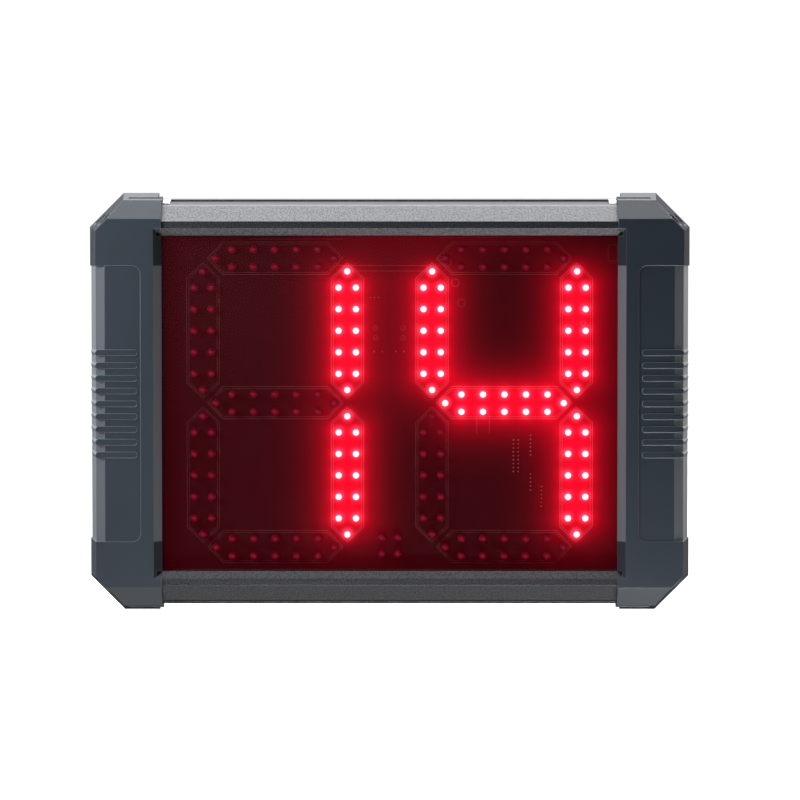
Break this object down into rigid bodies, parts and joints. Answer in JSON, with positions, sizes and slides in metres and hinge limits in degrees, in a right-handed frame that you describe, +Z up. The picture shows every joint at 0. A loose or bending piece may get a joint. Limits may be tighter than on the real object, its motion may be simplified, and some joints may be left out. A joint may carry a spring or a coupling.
{
  "type": "two-digit led counter display",
  "caption": "Flat wall display with large seven-segment diode digits behind a tinted window, in grey aluminium rails between two ribbed, chamfered plastic end caps.",
  "frame": {"origin": "middle of the bounding box at its lowest level", "axes": "+X to the right seen from the front, +Y to the rear (the wall), +Z up; the window faces -Y"},
  "size_m": [0.388, 0.04, 0.27],
  "materials": {
    "cap_plastic": "fine satin texture",
    "rail_aluminium": "bead-blasted, grey anodised",
    "tinted_acrylic": "clear red tint, polished",
    "board_laminate": "black solder mask",
    "panel_sheet": "matt black powder coat",
    "white_plastic": "plain moulded",
    "plated_steel": "zinc plated",
    "spacer_brass": "turned",
    "black_plastic": "plain moulded",
    "lead_insulation": "soft satin",
    "red_lens": "clear coloured resin"
  },
  "bodies": {
    "housing": {"back_panel": "panel_sheet", "board_header": "black_plastic", "board_screws": "plated_steel", "board_spacers": "spacer_brass", "bottom_rail": "rail_aluminium", "cell_holder": "black_plastic", "channel_plugs": "white_plastic", "clock_cell": "plated_steel", "clock_crystal": "plated_steel", "control_board": "board_laminate", "decimal_point": "red_lens", "display_board": "board_laminate", "end_cap_left": "cap_plastic", "end_cap_right": "cap_plastic", "end_cap_screws": "plated_steel", "front_window": "tinted_acrylic", "led_driver_chips": "black_plastic", "microcontroller": "black_plastic", "power_header": "black_plastic", "power_inductor": "black_plastic", "power_jack": "black_plastic", "power_jack_nut": "plated_steel", "power_leads": "lead_insulation", "power_switch_body": "black_plastic", "radio_receiver": "plated_steel", "segment_resistors": "black_plastic", "sounder": "black_plastic", "tens_segment_a": "red_lens", "tens_segment_b": "red_lens", "tens_segment_c": "red_lens", "tens_segment_d": "red_lens", "tens_segment_e": "red_lens", "tens_segment_f": "red_lens", "tens_segment_g": "red_lens", "top_rail": "rail_aluminium", "units_segment_a": "red_lens", "units_segment_b": "red_lens", "units_segment_c": "red_lens", "units_segment_d": "red_lens", "units_segment_e": "red_lens", "units_segment_f": "red_lens", "units_segment_g": "red_lens"},
    "rocker": {"power_switch_rocker": "black_plastic"},
    "left_hanger": {"hanger_left": "plated_steel", "hanger_left_screw": "plated_steel", "hanger_left_nut": "plated_steel"},
    "right_hanger": {"hanger_right": "plated_steel", "hanger_right_screw": "plated_steel", "hanger_right_nut": "plated_steel"}
  },
  "joints": [
    {"name": "power_switch_tilt", "type": "hinge", "parent": "housing", "child": "rocker", "pos_m": [0.17, 0.0146, 0.093], "axis": [1, 0, 0], "range_deg": [0, 20]},
    {"name": "left_hanger_slide", "type": "slide", "parent": "housing", "child": "left_hanger", "axis": [1, 0, 0], "range_m": [-0.03, 0.06]},
    {"name": "right_hanger_slide", "type": "slide", "parent": "housing", "child": "right_hanger", "axis": [1, 0, 0], "range_m": [-0.06, 0.03]}
  ]
}
